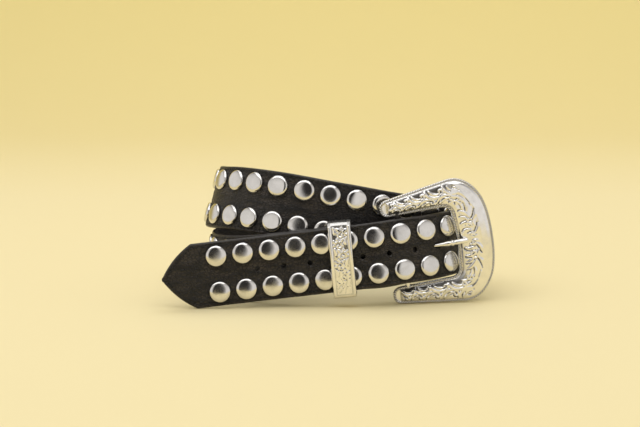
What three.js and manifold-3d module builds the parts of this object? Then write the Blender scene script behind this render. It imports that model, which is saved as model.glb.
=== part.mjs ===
// A western belt with two rows of round studs, standing on its edge and wound two turns into an oval coil.
// It is fastened: the free end lies outside the coil, through the buckle and its keeper.
// Millimetres, +Z up, the floor at z = 0, and -Y is the front with the free end.
import * as THREE from "three";
import { mergeVertices } from "three/addons/utils/BufferGeometryUtils.js";
import Module from "manifold-3d";

// Strap
const strapWidth = 38;
const strapThick = 3;
const tipShoulderAngle = 30; // degrees between the tip's side and the strap's axis, where the tip starts
const tipPointAngle = 61; // the same at the point
const tipBluntHalf = 1.2;
const clearance = 0.3;

// Studs and holes
const studDiameter = 12.3;
const studHeight = 1.9;
const studRowSpacing = 21.1;
const studPitch = 15.42;
const tipToFirstStuds = 32.6;
const closedEndToStuds = 7.6; // from the buckle's closed end to the free end's last pair, when fastened
const barToLastStuds = 50; // no stud lies nearer to the heel bar than this
const holeDiameter = 3;
const holeCount = 9;
const freeEndPairs = 10; // pairs of loose studs, counted from the tip
const upperLapPairs = { first: 26, last: 34 }; // and those of the lap that shows above the free end

// Coil
const ovalLength = 153.2;
const ovalWidth = 96.6;
const ovalFlattening = 0.02;
const tailTurn = 7.1; // degrees that the straight free end swings outwards, eased in over tailTurnOver
const tailTurnOver = 40;
const tailDip = 5.9; // degrees that it slopes down to the floor, eased in over tailDipOver
const tailDipOver = 30;

// Buckle
const barRadius = 1.6;
const buckleSwing = 2.5; // degrees outwards about the heel bar, from the strap's own line
const openingWidth = 41.8;
const openingLength = 33; // from the heel bar's middle to the closed end
const closedEndWidth = 22;
const armReach = 9.8; // past the heel bar
const armWidth = 11.2; // at the heel bar
const cornerWidth = 15.9; // of the arm where it meets the closed end
const frameThick = 5.6;
const frameBack = 0.6; // how far the frame reaches behind the heel bar's middle
const flangeThick = 1.8; // the rim's flat flange, round the domed middle
const flangeWidth = 1.7;
const domeBevel = 1.8; // how far the dome's edge slopes in

// Prong
const prongRadius = 1.25;
const prongLength = 38.4;
const prongEyeWidth = 4;
const prongEyeWall = 1.3;

// Strap's fold about the heel bar
const foldTab = 22;
const foldTaper = 12; // over this length the tab closes on the strap
const foldSlotReach = 9;

// Keeper
const keeperAt = 36.5; // along the strap from the heel bar
const keeperWidth = 13.5;
const keeperWall = 1.5;
const keeperRim = 1.7;
const keeperRimHeight = 0.7;
const keeperSlack = 0.7; // between the keeper and the strap's edges

// Fineness
const coilSamples = 1600;
const tailSamples = 120;
const sectionsPerStud = 2;
const foldSteps = 6;
const tabSteps = 5;
const tipSteps = 6;

const layerStep = strapThick + studHeight + clearance;
const foldRadius = barRadius + clearance + strapThick / 2;
const degree = Math.PI / 180;

// The strap's course. One turn is once round the oval, clockwise from above, and turn 0 is the front.
// layer: outwards from the oval, in layer steps. rise: the middle of the strap, as a share of its width.
// lean: degrees that the top edge tips inwards.
const coilRows = [
  [-0.07, 1.31, 0.831, 0],
  [-0.04, 1.19, 0.766, 0],
  [0, 1.02, 0.735, 0],
  [0.1, 0.77, 0.566, 0],
  [0.16, 0.46, 0.506, 0],
  [0.25, 0, 0.495, 0],
  [0.34, -0.38, 0.495, 0],
  [0.42, -0.38, 0.495, 0],
  [0.5, -0.38, 0.497, 0],
  [0.57, -0.31, 0.565, 0],
  [0.66, -0.19, 0.745, 0],
  [0.75, 0, 0.94, 0],
  [0.88, -1.44, 1.105, 0],
  [0.94, -1.44, 1.211, 0],
  [1, -0.87, 1.363, 3],
  [1.08, -0.48, 1.537, 9.5],
  [1.16, -1, 1.571, 15],
  [1.25, -0.06, 1.524, 15],
  [1.3, 0.42, 1.482, 14],
  [1.35, 0.67, 1.368, 9],
  [1.42, 0.67, 1.174, 4],
  [1.5, 0.67, 0.984, 0],
  [1.58, 0.77, 0.868, 0],
  [1.66, 1.12, 0.85, 0],
  [1.75, 1.1, 0.905, 0],
  [1.83, 1.08, 0.94, 3],
  [1.865, 1.62, 0.928, 5],
  [1.9, 2.15, 0.897, 5],
  [1.94, 2.25, 0.845, 5],
  [2, 2.06, 0.739, 0],
].map(([turn, layer, rise, lean]) => ({ turn, layer, rise, lean }));

const wasm = await Module();
wasm.setup();

function solidFrom(geometry) {
  const loose = geometry.index ? geometry.toNonIndexed() : geometry;
  const bare = new THREE.BufferGeometry().setAttribute("position", loose.getAttribute("position"));
  const merged = mergeVertices(bare, 1e-4);
  return new wasm.Manifold(
    new wasm.Mesh({
      numProp: 3,
      vertProperties: new Float32Array(merged.attributes.position.array),
      triVerts: new Uint32Array(merged.index.array),
    }),
  );
}

function geometryFrom(solid) {
  const mesh = solid.getMesh();
  return new THREE.BufferGeometry()
    .setAttribute("position", new THREE.BufferAttribute(new Float32Array(mesh.vertProperties), 3))
    .setIndex(new THREE.BufferAttribute(new Uint32Array(mesh.triVerts), 1));
}

function leather() {
  return new THREE.MeshStandardMaterial({ color: 0x241f1d, roughness: 0.55, metalness: 0 });
}

function castMetal() {
  return new THREE.MeshStandardMaterial({ color: 0xd2cfc6, roughness: 0.22, metalness: 1 });
}

function studMetal() {
  return new THREE.MeshStandardMaterial({ color: 0xc4c3c0, roughness: 0.3, metalness: 1 });
}

// A smooth curve through one column of the coil's rows.
function coilValue(column, turn) {
  const last = coilRows.length - 2;
  const found = coilRows.findIndex((row) => row.turn > turn) - 1;
  const i = found < 0 ? (turn < coilRows[0].turn ? 0 : last) : found;
  const slope = (k) => {
    const before = coilRows[Math.max(k - 1, 0)];
    const after = coilRows[Math.min(k + 1, coilRows.length - 1)];
    return (after[column] - before[column]) / (after.turn - before.turn);
  };
  const [a, b] = [coilRows[i], coilRows[i + 1]];
  const span = b.turn - a.turn;
  const u = (turn - a.turn) / span;
  return (
    a[column] * (1 + 2 * u) * (1 - u) ** 2 +
    b[column] * u ** 2 * (3 - 2 * u) +
    span * u * (1 - u) * ((1 - u) * slope(i) - u * slope(i + 1))
  );
}

function ovalPoint(turn) {
  const angle = 2 * Math.PI * turn;
  const scale = 1 - ovalFlattening;
  return new THREE.Vector2(
    ((-ovalLength / 2) * (Math.sin(angle) + ovalFlattening * Math.sin(3 * angle))) / scale,
    ((-ovalWidth / 2) * (Math.cos(angle) - ovalFlattening * Math.cos(3 * angle))) / scale,
  );
}

function coilPoint(turn) {
  const at = ovalPoint(turn);
  const heading = ovalPoint(turn + 1e-5).sub(ovalPoint(turn - 1e-5)).normalize();
  const outwards = coilValue("layer", turn) * layerStep;
  return new THREE.Vector3(
    at.x - heading.y * outwards,
    at.y + heading.x * outwards,
    coilValue("rise", turn) * strapWidth,
  );
}

// The straight free end goes on from the coil's last heading.
function addTail(points, leans, length) {
  const from = points[points.length - 1];
  const heading = from.clone().sub(points[points.length - 2]);
  const yaw = Math.atan2(-heading.y, -heading.x);
  const slope = heading.z / Math.hypot(heading.x, heading.y);
  const step = length / tailSamples;
  const at = from.clone();
  for (let i = 1; i <= tailSamples; i++) {
    const angle = yaw + tailTurn * degree * Math.min((i * step) / tailTurnOver, 1);
    const dip = Math.min((i * step) / tailDipOver, 1);
    const fall = slope * (1 - dip) - Math.tan(tailDip * degree) * dip;
    const flat = step / Math.hypot(1, fall);
    at.add(new THREE.Vector3(-Math.cos(angle), -Math.sin(angle), fall).multiplyScalar(flat));
    points.push(at.clone());
    leans.push(leans[leans.length - 1]);
  }
}

function lengthsAlong(points) {
  const lengths = [0];
  for (let i = 1; i < points.length; i++) {
    lengths.push(lengths[i - 1] + points[i].distanceTo(points[i - 1]));
  }
  return lengths;
}

// How far along the strap its free end comes in under the buckle's closed end.
function closedEndDistance(points) {
  const lengths = lengthsAlong(points);
  const towardsEnd = points[0].clone().sub(points[2]).normalize();
  const reaches = points.map((point) => point.clone().sub(points[0]).dot(towardsEnd));
  const i = reaches.findLastIndex((reach) => reach > openingLength);
  const share = (reaches[i] - openingLength) / (reaches[i] - reaches[i + 1]);
  return THREE.MathUtils.lerp(lengths[i], lengths[i + 1], share);
}

function traceStrap() {
  const points = [];
  const leans = [];
  const firstTurn = coilRows[0].turn;
  const lastTurn = coilRows[coilRows.length - 1].turn;
  for (let i = 0; i <= coilSamples; i++) {
    const turn = firstTurn + ((lastTurn - firstTurn) * i) / coilSamples;
    points.push(coilPoint(turn));
    leans.push(coilValue("lean", turn) * degree);
  }
  const freeEnd = closedEndToStuds + (freeEndPairs - 1) * studPitch + tipToFirstStuds;
  addTail(points, leans, closedEndDistance(points) + freeEnd - lengthsAlong(points).at(-1));
  return { points, leans, lengths: lengthsAlong(points) };
}

const track = traceStrap();
const strapLength = track.lengths.at(-1); // from the heel bar to the point of the tip

// The strap's middle at a distance from the heel bar: along runs to the tip, out leaves the coil, up crosses it.
function placeAt(distance) {
  const { points, leans, lengths } = track;
  const beyond = lengths.findIndex((length) => length > distance);
  const i = beyond < 0 ? points.length - 2 : Math.max(beyond - 1, 0);
  const share = (distance - lengths[i]) / (lengths[i + 1] - lengths[i]);
  const point = points[i].clone().lerp(points[i + 1], share);
  const before = points[Math.max(i - 1, 0)];
  const after = points[Math.min(i + 2, points.length - 1)];
  const along = after.clone().sub(before).normalize();
  const level = new THREE.Vector3(0, 0, 1).cross(along).normalize();
  const upright = along.clone().cross(level);
  const lean = leans[i] + (leans[i + 1] - leans[i]) * share;
  const up = upright.clone().multiplyScalar(Math.cos(lean)).addScaledVector(level, -Math.sin(lean));
  const out = level.clone().multiplyScalar(Math.cos(lean)).addScaledVector(upright, Math.sin(lean));
  return { point, along, out, up };
}

function tipHalfWidths() {
  const [shoulder, point] = [tipShoulderAngle * degree, tipPointAngle * degree];
  const radius = strapWidth / 2 / (Math.cos(shoulder) - Math.cos(point));
  const halves = [];
  for (let i = 0; i <= tipSteps; i++) {
    const angle = shoulder + ((point - shoulder) * i) / tipSteps;
    halves.push({
      fromPoint: radius * (Math.sin(point) - Math.sin(angle)),
      half: Math.max(radius * (Math.cos(angle) - Math.cos(point)), tipBluntHalf),
    });
  }
  return halves;
}

// One closed ring of the strap's section.
function sectionRing({ point, out, up }, half) {
  const thick = strapThick / 2;
  const corners = [
    [half, thick],
    [-half, thick],
    [-half, -thick],
    [half, -thick],
  ];
  return corners.map(([rise, reach]) =>
    point.clone().addScaledVector(up, rise).addScaledVector(out, reach),
  );
}

function loftGeometry(rings) {
  const sides = rings[0].length;
  const positions = rings.flat().flatMap((corner) => corner.toArray());
  const faces = [];
  for (let i = 0; i + 1 < rings.length; i++) {
    for (let j = 0; j < sides; j++) {
      const [a, b] = [i * sides + j, i * sides + ((j + 1) % sides)];
      faces.push(a, b + sides, b, a, a + sides, b + sides);
    }
  }
  const lastRing = (rings.length - 1) * sides;
  for (let j = 1; j + 1 < sides; j++) {
    faces.push(0, j, j + 1, lastRing, lastRing + j + 1, lastRing + j);
  }
  return new THREE.BufferGeometry()
    .setAttribute("position", new THREE.Float32BufferAttribute(positions, 3))
    .setIndex(faces);
}

// The end of the strap goes round the heel bar and comes back as a tab behind it.
function foldRings() {
  const rings = [];
  for (let i = tabSteps; i > 0; i--) {
    const distance = (foldTab * i) / tabSteps;
    const { point, out, up } = placeAt(distance);
    const closing = THREE.MathUtils.smoothstep(distance, 0, foldTaper);
    const apart = THREE.MathUtils.lerp(2 * foldRadius, strapThick + clearance, closing);
    const middle = point.clone().addScaledVector(out, -apart);
    rings.push(sectionRing({ point: middle, out: out.clone().negate(), up }, strapWidth / 2));
  }
  const { along, out, up } = placeAt(0);
  for (let i = foldSteps; i > 0; i--) {
    const angle = (Math.PI * i) / foldSteps;
    const reach = out.clone().multiplyScalar(Math.cos(angle)).addScaledVector(along, -Math.sin(angle));
    const point = barCentre.clone().addScaledVector(reach, foldRadius);
    rings.push(sectionRing({ point, out: reach, up }, strapWidth / 2));
  }
  rings.push(sectionRing(placeAt(0), strapWidth / 2));
  return rings;
}

function strapRings() {
  const rings = foldRings();
  const halves = tipHalfWidths();
  const shoulder = strapLength - halves[0].fromPoint;
  const step = studPitch / sectionsPerStud;
  const tipStuds = strapLength - tipToFirstStuds;
  for (let distance = tipStuds % step; distance < shoulder - step / 2; distance += step) {
    rings.push(sectionRing(placeAt(distance), strapWidth / 2));
  }
  for (const { fromPoint, half } of halves) {
    rings.push(sectionRing(placeAt(strapLength - fromPoint), half));
  }
  return rings;
}

// A local frame on the strap: x along it, y out of it, z up its width.
function strapMatrix({ point, along, out, up }) {
  return new THREE.Matrix4().makeBasis(along, out, up).setPosition(point);
}

const barCentre = placeAt(0).point.clone().addScaledVector(placeAt(0).out, -foldRadius);

function prongGeometry(grow) {
  const eyeInner = barRadius + clearance;
  const eyeOuter = eyeInner + prongEyeWall + grow;
  const ring = new THREE.Shape().absarc(0, 0, eyeOuter, 0, 2 * Math.PI);
  if (!grow) ring.holes.push(new THREE.Path().absarc(0, 0, eyeInner, 0, 2 * Math.PI, true));
  const eyeWidth = prongEyeWidth + 2 * grow;
  const eye = new THREE.ExtrudeGeometry(ring, { depth: eyeWidth, bevelEnabled: false, curveSegments: 8 })
    .translate(0, 0, -eyeWidth / 2)
    .rotateX(-Math.PI / 2);
  const rest = frameThick - frameBack + clearance + prongRadius;
  const course = new THREE.CatmullRomCurve3([
    new THREE.Vector3(eyeInner + prongEyeWall / 2, 0, barRadius),
    new THREE.Vector3(openingLength * 0.45, 0, rest * 0.55),
    new THREE.Vector3(openingLength * 0.85, 0, rest * 0.97),
    new THREE.Vector3(prongLength, 0, rest),
  ]);
  const section = new THREE.Shape().absarc(0, 0, prongRadius + grow, 0, 2 * Math.PI);
  const rod = new THREE.ExtrudeGeometry(section, { steps: 9, curveSegments: 4, extrudePath: course });
  return solidFrom(eye).add(solidFrom(rod));
}

// The buckle's frame: x from the heel bar to the closed end, y along the bar, z out of the coil.
function buckleMatrix() {
  const { along, out, up } = placeAt(0);
  const swing = new THREE.Matrix4().makeRotationY(-buckleSwing * degree);
  return new THREE.Matrix4()
    .makeBasis(along.clone().negate(), up, out)
    .setPosition(barCentre)
    .multiply(swing);
}

// The buckle's outline: the upper arm, the closed end, the lower arm and the inner edge.
function buckleOutline() {
  const inner = openingWidth / 2;
  const outer = inner + armWidth;
  const corner = inner + cornerWidth;
  const far = openingLength + closedEndWidth;
  const flare = (corner - outer) / openingLength;
  const tipRound = armWidth / 2;
  const cornerStart = openingLength * 0.97;
  const shape = new THREE.Shape();
  shape.moveTo(tipRound - armReach, inner);
  shape.quadraticCurveTo(-armReach, inner, -armReach, inner + tipRound);
  shape.quadraticCurveTo(-armReach, outer - armReach * flare, tipRound - armReach, outer - tipRound * flare);
  shape.lineTo(cornerStart, corner);
  shape.bezierCurveTo(far * 0.75, corner * 1.03, far * 0.87, corner * 0.86, far * 0.94, corner * 0.63);
  shape.bezierCurveTo(far * 0.985, corner * 0.46, far, corner * 0.24, far, 0);
  shape.bezierCurveTo(far, -corner * 0.24, far * 0.985, -corner * 0.46, far * 0.94, -corner * 0.63);
  shape.bezierCurveTo(far * 0.87, -corner * 0.86, far * 0.75, -corner * 1.03, cornerStart, -corner);
  shape.lineTo(tipRound - armReach, tipRound * flare - outer);
  shape.quadraticCurveTo(-armReach, armReach * flare - outer, -armReach, -inner - tipRound);
  shape.quadraticCurveTo(-armReach, -inner, tipRound - armReach, -inner);
  shape.lineTo(openingLength * 0.8, -inner);
  shape.quadraticCurveTo(openingLength * 0.96, -inner, openingLength * 0.97, -inner * 0.7);
  shape.quadraticCurveTo(openingLength, 0, openingLength * 0.97, inner * 0.7);
  shape.quadraticCurveTo(openingLength * 0.96, inner, openingLength * 0.8, inner);
  shape.closePath();
  return shape;
}

// A flat flange, and on it the domed middle, both cut off level at the back.
function buckleSolid() {
  const settings = { curveSegments: 6 };
  const flange = new THREE.ExtrudeGeometry(buckleOutline(), {
    ...settings,
    depth: flangeThick,
    bevelEnabled: false,
  }).translate(0, 0, -frameBack);
  const dome = new THREE.ExtrudeGeometry(buckleOutline(), {
    ...settings,
    depth: frameThick - 2 * flangeThick,
    bevelThickness: flangeThick,
    bevelSize: domeBevel,
    bevelOffset: -domeBevel - flangeWidth,
    bevelSegments: 2,
  }).translate(0, 0, flangeThick - frameBack);
  const bar = new THREE.CylinderGeometry(barRadius, barRadius, openingWidth + armWidth, 12);
  return solidFrom(flange).add(solidFrom(dome)).add(solidFrom(bar));
}

function studGeometry(sides) {
  const radius = studDiameter / 2;
  const profile = [
    new THREE.Vector2(0, 0),
    new THREE.Vector2(radius, 0),
    new THREE.Vector2(radius, studHeight * 0.25),
    new THREE.Vector2(radius * 0.84, studHeight * 0.72),
    new THREE.Vector2(0, studHeight - clearance),
  ];
  return new THREE.LatheGeometry(profile, sides);
}

// The plain studs of the covered laps are fused to the strap, sunk a little so that they join it.
function fusedStudGeometry() {
  const radius = studDiameter / 2;
  const sunk = strapThick / 3;
  const profile = [
    new THREE.Vector2(0, -sunk),
    new THREE.Vector2(radius, -sunk),
    new THREE.Vector2(radius * 0.86, studHeight),
    new THREE.Vector2(0, studHeight),
  ];
  return new THREE.LatheGeometry(profile, 10);
}

function studPairs() {
  const pairs = [];
  for (let pair = 0; ; pair++) {
    const distance = strapLength - tipToFirstStuds - pair * studPitch;
    if (distance < barToLastStuds) return pairs;
    const loose =
      pair < freeEndPairs || (pair >= upperLapPairs.first && pair <= upperLapPairs.last);
    pairs.push({ pair, distance, loose });
  }
}

// On the outer face of the strap, in the upper (1) or lower (-1) row.
function studMatrix(distance, row, lift) {
  const offset = new THREE.Matrix4().makeTranslation(
    0,
    strapThick / 2 + lift,
    (row * studRowSpacing) / 2,
  );
  return strapMatrix(placeAt(distance)).multiply(offset);
}

function strapSolid() {
  let strap = solidFrom(loftGeometry(strapRings()));
  const studs = studPairs().filter(({ loose }) => !loose);
  for (const { distance } of studs) {
    for (const row of [1, -1]) {
      strap = strap.add(solidFrom(fusedStudGeometry().applyMatrix4(studMatrix(distance, row, 0))));
    }
  }
  for (let i = 1; i <= holeCount; i++) {
    const distance = strapLength - tipToFirstStuds - (i + 0.5) * studPitch;
    const drill = new THREE.CylinderGeometry(holeDiameter / 2, holeDiameter / 2, 2 * strapThick, 10);
    strap = strap.subtract(solidFrom(drill.applyMatrix4(strapMatrix(placeAt(distance)))));
  }
  const slotWidth = prongEyeWidth + 2 * clearance;
  const slot = new THREE.BoxGeometry(2 * foldSlotReach, 4 * foldRadius, slotWidth);
  const slotMatrix = strapMatrix(placeAt(0)).setPosition(barCentre);
  strap = strap.subtract(solidFrom(slot.applyMatrix4(slotMatrix)));
  const passage = geometryFrom(prongGeometry(clearance)).applyMatrix4(buckleMatrix());
  strap = strap.subtract(solidFrom(passage));
  const floor = new THREE.BoxGeometry(3 * ovalLength, 3 * ovalLength, strapWidth);
  return strap.subtract(solidFrom(floor.translate(0, 0, -strapWidth / 2)));
}

// How far out of the lap at this place the next lap's middle lies.
function lapOutside({ point, along, out }) {
  const reaches = track.points
    .filter((_, i) => track.lengths[i] > strapLength / 2)
    .map((other) => other.clone().sub(point))
    .filter((offset) => Math.abs(offset.dot(along)) < keeperWidth / 2 && offset.dot(out) > strapThick)
    .map((offset) => offset.dot(out));
  return Math.max(...reaches);
}

function roundedRectangle(left, right, half, radius) {
  const shape = new THREE.Shape();
  shape.moveTo(left, radius - half);
  shape.quadraticCurveTo(left, -half, left + radius, -half);
  shape.lineTo(right - radius, -half);
  shape.quadraticCurveTo(right, -half, right, radius - half);
  shape.lineTo(right, half - radius);
  shape.quadraticCurveTo(right, half, right - radius, half);
  shape.lineTo(left + radius, half);
  shape.quadraticCurveTo(left, half, left, half - radius);
  shape.closePath();
  return shape;
}

// The keeper in its own frame: x out of the coil, y up the strap, z along it.
function keeperSolid(place) {
  const back = -strapThick / 2 - clearance;
  const front = lapOutside(place) + strapThick / 2 + studHeight + clearance;
  const half = strapWidth / 2 + keeperSlack;
  const outline = roundedRectangle(back - keeperWall, front + keeperWall, half + keeperWall, keeperWall);
  outline.holes.push(roundedRectangle(back, front, half, keeperWall / 3));
  const settings = { depth: keeperWidth, bevelEnabled: false, curveSegments: 3 };
  const band = new THREE.ExtrudeGeometry(outline, settings).translate(0, 0, -keeperWidth / 2);
  const rim = roundedRectangle(-keeperWidth / 2, keeperWidth / 2, half + keeperWall, 1);
  rim.holes.push(
    roundedRectangle(keeperRim - keeperWidth / 2, keeperWidth / 2 - keeperRim, half + keeperWall - keeperRim, 0.5),
  );
  const rimGeometry = new THREE.ExtrudeGeometry(rim, {
    depth: keeperWall + keeperRimHeight,
    bevelEnabled: false,
    curveSegments: 2,
  })
    .rotateY(Math.PI / 2)
    .translate(front, 0, 0);
  return solidFrom(band).add(solidFrom(rimGeometry));
}

function addMesh(parent, name, geometry, material, matrix) {
  const mesh = new THREE.Mesh(geometry, material);
  mesh.name = name;
  if (matrix) mesh.applyMatrix4(matrix);
  parent.add(mesh);
}

function makeBelt() {
  const belt = new THREE.Group();
  addMesh(belt, "strap", geometryFrom(strapSolid()), leather());
  const buckle = new THREE.Group();
  buckle.applyMatrix4(buckleMatrix());
  addMesh(buckle, "buckle_frame", geometryFrom(buckleSolid()), castMetal());
  addMesh(buckle, "prong", geometryFrom(prongGeometry(0)), castMetal());
  belt.add(buckle);
  const keeperPlace = placeAt(keeperAt);
  const { point, along, out, up } = keeperPlace;
  const keeperMatrix = new THREE.Matrix4().makeBasis(out, up, along).setPosition(point);
  addMesh(belt, "keeper", geometryFrom(keeperSolid(keeperPlace)), castMetal(), keeperMatrix);
  for (const { pair, distance } of studPairs().filter(({ loose }) => loose)) {
    const name = String(pair + 1).padStart(2, "0");
    const seat = clearance;
    addMesh(belt, `stud_${name}_upper`, studGeometry(12), studMetal(), studMatrix(distance, 1, seat));
    addMesh(belt, `stud_${name}_lower`, studGeometry(12), studMetal(), studMatrix(distance, -1, seat));
  }
  return belt;
}

// The origin is on the floor, below the middle of the belt's box.
const belt = makeBelt();
belt.updateMatrixWorld(true);
const middle = new THREE.Box3().setFromObject(belt, true).getCenter(new THREE.Vector3());
belt.position.set(-middle.x, -middle.y, 0);
const group = new THREE.Group().add(belt);

export default group;
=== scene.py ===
# A western studded belt, fastened and wound into an oval coil: its looks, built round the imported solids.
import math
import random

import bmesh
import bpy
import numpy as np
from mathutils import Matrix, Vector
from mathutils.geometry import delaunay_2d_cdt


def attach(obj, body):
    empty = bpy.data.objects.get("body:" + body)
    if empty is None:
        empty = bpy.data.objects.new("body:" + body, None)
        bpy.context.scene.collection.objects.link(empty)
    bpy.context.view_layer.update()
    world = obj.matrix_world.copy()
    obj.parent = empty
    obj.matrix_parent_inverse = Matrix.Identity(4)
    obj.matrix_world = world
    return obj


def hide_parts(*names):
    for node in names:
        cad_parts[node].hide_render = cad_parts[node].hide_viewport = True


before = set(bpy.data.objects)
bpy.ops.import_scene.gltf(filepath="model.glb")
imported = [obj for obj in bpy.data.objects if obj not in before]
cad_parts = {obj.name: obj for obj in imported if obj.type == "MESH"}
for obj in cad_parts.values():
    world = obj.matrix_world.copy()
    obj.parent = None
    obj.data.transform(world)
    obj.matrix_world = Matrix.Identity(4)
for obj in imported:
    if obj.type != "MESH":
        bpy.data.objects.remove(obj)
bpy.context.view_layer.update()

mm = 0.001

# The strap's course, in millimetres round the coil's own centre, as the solids have it.
coil = {
    "ovalLength": 153.2,
    "ovalWidth": 96.6,
    "ovalFlattening": 0.02,
    "layerStep": 5.2,
    "tailTurn": 7.1,  # degrees outwards, eased in over tailTurnOver
    "tailTurnOver": 40,
    "tailDip": 5.9,  # degrees down, eased in over tailDipOver
    "tailDipOver": 30,
    "samples": 1600,
    "tailSamples": 120,
    "closedEndToStuds": 7.6,
}
# Columns: turn, layer in layer steps, rise as a share of the strap's width, lean in degrees.
coilRows = np.array([
    (-0.07, 1.31, 0.831, 0),
    (-0.04, 1.19, 0.766, 0),
    (0, 1.02, 0.735, 0),
    (0.1, 0.77, 0.566, 0),
    (0.16, 0.46, 0.506, 0),
    (0.25, 0, 0.495, 0),
    (0.34, -0.38, 0.495, 0),
    (0.42, -0.38, 0.495, 0),
    (0.5, -0.38, 0.497, 0),
    (0.57, -0.31, 0.565, 0),
    (0.66, -0.19, 0.745, 0),
    (0.75, 0, 0.94, 0),
    (0.88, -1.44, 1.105, 0),
    (0.94, -1.44, 1.211, 0),
    (1, -0.87, 1.363, 3),
    (1.08, -0.48, 1.537, 9.5),
    (1.16, -1, 1.571, 15),
    (1.25, -0.06, 1.524, 15),
    (1.3, 0.42, 1.482, 14),
    (1.35, 0.67, 1.368, 9),
    (1.42, 0.67, 1.174, 4),
    (1.5, 0.67, 0.984, 0),
    (1.58, 0.77, 0.868, 0),
    (1.66, 1.12, 0.85, 0),
    (1.75, 1.1, 0.905, 0),
    (1.83, 1.08, 0.94, 3),
    (1.865, 1.62, 0.928, 5),
    (1.9, 2.15, 0.897, 5),
    (1.94, 2.25, 0.845, 5),
    (2, 2.06, 0.739, 0),
])
strap = {
    "width": 38.0,
    "thick": 3.0,
    "tipShoulder": 30,  # degrees between the tip's side and the strap's axis
    "tipPoint": 61,
    "tipRound": 1.6,
    "foldTab": 22.0,
    "foldTaper": 12.0,
    "foldSlotReach": 9.0,
    "foldSlotWidth": 4.6,
    "clearance": 0.3,
    "ringStep": 1.1,
    "holeDiameter": 3.0,
    "holeCount": 9,
    "stitchInset": 2.1,
    "stitchPitch": 2.6,
    "stitchLength": 2.0,
    "threadRadius": 0.3,
}
studs = {
    "diameter": 12.3,
    "height": 1.9,
    "rowSpacing": 21.1,
    "pitch": 15.42,
    "tipToFirst": 32.6,
    "barToLast": 50,
    "freeEndPairs": 10,
    "upperLapPairs": (26, 34),
    "crown": 0.36,
    "shoulderPower": 8,
    "lift": 0.2,
    "faceUp": 4.5,  # degrees that the free end's studs look up
    "tilt": 1.3,  # degrees that a stud may sit askew
}
buckle = {
    "barRadius": 1.6,
    "swing": 2.5,
    "openingWidth": 41.8,
    "openingLength": 33.0,
    "closedEndWidth": 22.0,
    "armReach": 9.8,
    "armWidth": 11.2,
    "cornerWidth": 15.9,
    "back": -0.6,
    "flangeTop": 1.1,
    "domeTop": 4.5,
    "flange": 1.6,
    "tipFlange": 2.6,
    "domeRun": 3.0,
    "edgeWidth": 0.4,  # the cast edge is rounded over this
    "ropeAt": 0.75,  # inset of the rope edge's middle
    "ropeHalf": 0.65,
    "ropeHeight": 0.5,
    "ropePitch": 1.6,
    "beadAt": 2.15,  # inset of the fine line beside the rope
    "beadHeight": 0.2,
    "grooveAt": 1.62,
    "reliefHeight": 0.85,  # on the arms; the closed end's is lower by reliefFade
    "reliefFade": 0.4,
    "cutDepth": 0.5,
    "groundDepth": 0.1,
    "outlineStep": 0.25,
    "meshStep": 0.4,
    "meshRings": (0.25, 0.5, 0.75, 1.0, 1.3, 1.6),
}


def unit(vectors):
    return vectors / np.linalg.norm(vectors, axis=-1, keepdims=True)


def smooth(value, low, high):
    share = np.clip((value - low) / (high - low), 0, 1)
    return share * share * (3 - 2 * share)


def coilValue(column, turns):
    at, value = coilRows[:, 0], coilRows[:, column]
    slope = np.empty_like(value)
    slope[1:-1] = (value[2:] - value[:-2]) / (at[2:] - at[:-2])
    slope[0] = (value[1] - value[0]) / (at[1] - at[0])
    slope[-1] = (value[-1] - value[-2]) / (at[-1] - at[-2])
    i = np.clip(np.searchsorted(at, turns, side="right") - 1, 0, len(at) - 2)
    span = at[i + 1] - at[i]
    u = (turns - at[i]) / span
    return (
        value[i] * (1 + 2 * u) * (1 - u) ** 2
        + value[i + 1] * u**2 * (3 - 2 * u)
        + span * u * (1 - u) * ((1 - u) * slope[i] - u * slope[i + 1])
    )


def ovalPoint(turns):
    angle = 2 * math.pi * turns
    k = coil["ovalFlattening"]
    x = -coil["ovalLength"] / 2 * (np.sin(angle) + k * np.sin(3 * angle)) / (1 - k)
    y = -coil["ovalWidth"] / 2 * (np.cos(angle) - k * np.cos(3 * angle)) / (1 - k)
    return np.stack([x, y], axis=-1)


def coilPoints(turns):
    at = ovalPoint(turns)
    heading = unit(ovalPoint(turns + 1e-5) - ovalPoint(turns - 1e-5))
    outwards = coilValue(1, turns) * coil["layerStep"]
    x = at[:, 0] - heading[:, 1] * outwards
    y = at[:, 1] + heading[:, 0] * outwards
    return np.stack([x, y, coilValue(2, turns) * strap["width"]], axis=-1)


def lengthsAlong(points):
    return np.concatenate([[0], np.cumsum(np.linalg.norm(np.diff(points, axis=0), axis=1))])


def tailPoints(points, length):
    heading = points[-1] - points[-2]
    yaw = math.atan2(-heading[1], -heading[0])
    slope = heading[2] / math.hypot(heading[0], heading[1])
    step = length / coil["tailSamples"]
    at = points[-1].copy()
    tail = []
    for i in range(1, coil["tailSamples"] + 1):
        angle = yaw + math.radians(coil["tailTurn"]) * min(i * step / coil["tailTurnOver"], 1)
        dip = min(i * step / coil["tailDipOver"], 1)
        fall = slope * (1 - dip) - math.tan(math.radians(coil["tailDip"])) * dip
        flat = step / math.hypot(1, fall)
        at = at + np.array([-math.cos(angle), -math.sin(angle), fall]) * flat
        tail.append(at)
    return np.array(tail)


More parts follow.
